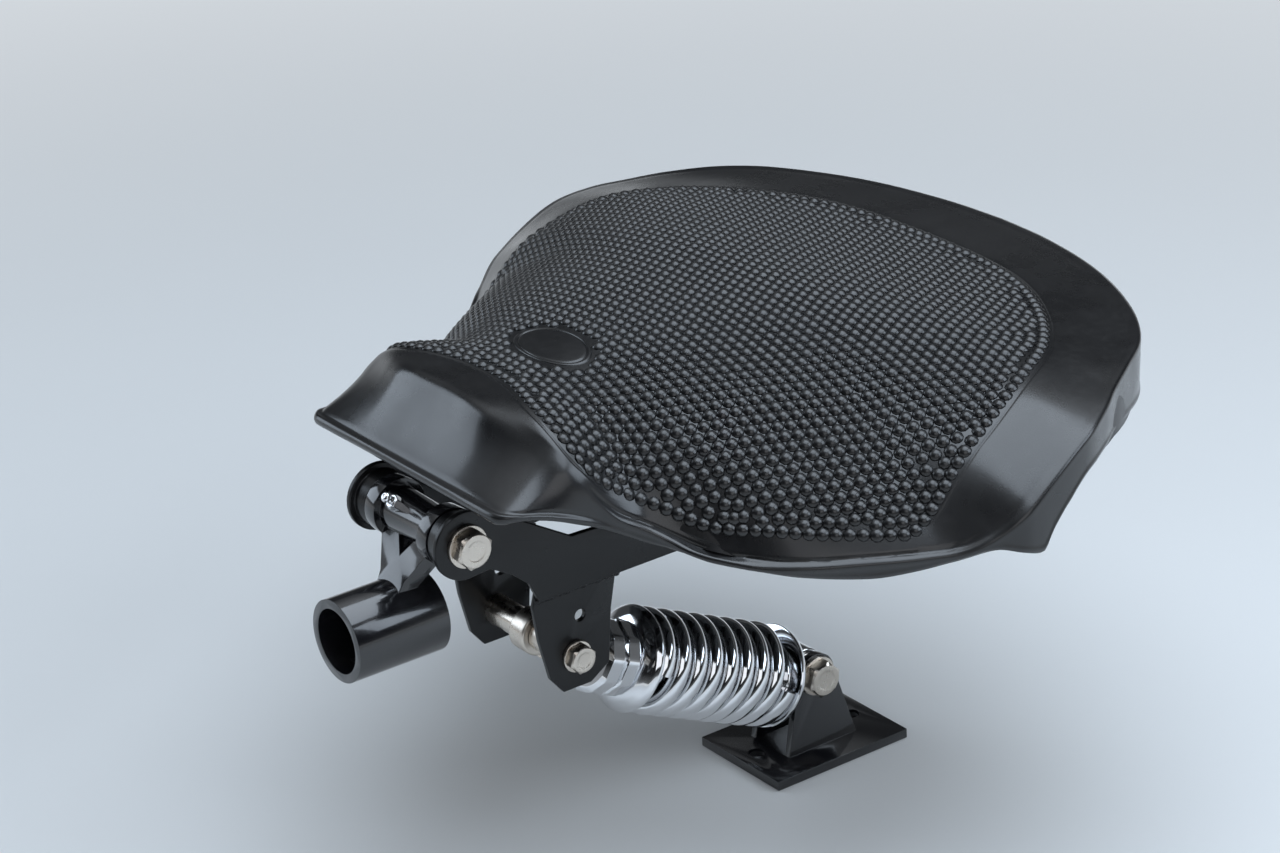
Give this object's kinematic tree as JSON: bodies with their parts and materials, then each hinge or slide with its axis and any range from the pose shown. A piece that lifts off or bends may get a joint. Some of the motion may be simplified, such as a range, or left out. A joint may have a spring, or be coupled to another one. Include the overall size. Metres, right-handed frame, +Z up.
{
  "type": "sprung motorcycle saddle",
  "caption": "Moulded rubber saddle on a steel pan, hinged at its nose on a frame lug and held up by one adjustable coil spring under the nose.",
  "frame": {"origin": "middle of the socket in the frame lug that takes the 32 mm frame tube", "axes": "+Z up, +X to the rear of the motorcycle, -Y its left side"},
  "size_m": [0.412, 0.429, 0.2715],
  "materials": {
    "rubber": "satin moulded rubber",
    "painted_steel": "semi-gloss black",
    "lug_enamel": "gloss black",
    "bolts": "nickel plate",
    "spring_chrome": "polished chrome"
  },
  "bodies": {
    "frame": {"frame_lug": "lug_enamel", "grease_nipple": "bolts", "rear_anchor": "lug_enamel", "anchor_bolt": "bolts", "anchor_washers": "bolts", "anchor_nut": "bolts", "anchor_spacers": "bolts"},
    "saddle": {"saddle_cover": "rubber", "saddle_pan": "painted_steel", "side_plate_left": "painted_steel", "side_plate_right": "painted_steel", "lever_lug_left": "painted_steel", "lever_lug_right": "painted_steel", "cross_tube": "painted_steel", "rib_front": "painted_steel", "rib_rear": "painted_steel", "pivot_bolt": "bolts", "pivot_washers": "bolts", "pivot_nut": "bolts", "lever_bolt": "bolts", "lever_washers": "bolts", "lever_nut": "bolts", "lever_spacers": "bolts"},
    "spring_rear": {"spring_coil": "spring_chrome", "rear_plug": "spring_chrome"},
    "spring_front": {"front_cup": "spring_chrome", "lock_nut": "spring_chrome", "adjusting_nut": "spring_chrome", "tension_rod": "bolts"}
  },
  "joints": [
    {"name": "saddle_swing", "type": "hinge", "parent": "frame", "child": "saddle", "pos_m": [0.026, 0, 0.046], "axis": [0, 1, 0], "range_deg": [0, 8], "stiffness_Nm_per_rad": 600, "springref_deg": -2.86},
    {"name": "spring_tilt", "type": "hinge", "parent": "frame", "child": "spring_rear", "pos_m": [0.242, 0, -0.106], "axis": [0, 1, 0], "range_deg": [-4, 0.5]},
    {"name": "spring_stretch", "type": "slide", "parent": "spring_rear", "child": "spring_front", "axis": [-0.9056, 0, 0.4241], "range_m": [0, 0.0085]}
  ],
  "couplings": [
    {"joint": "spring_tilt", "follows": "saddle_swing", "ratio": -0.4513},
    {"joint": "spring_stretch", "follows": "saddle_swing", "m_per_rad": 0.05444}
  ]
}
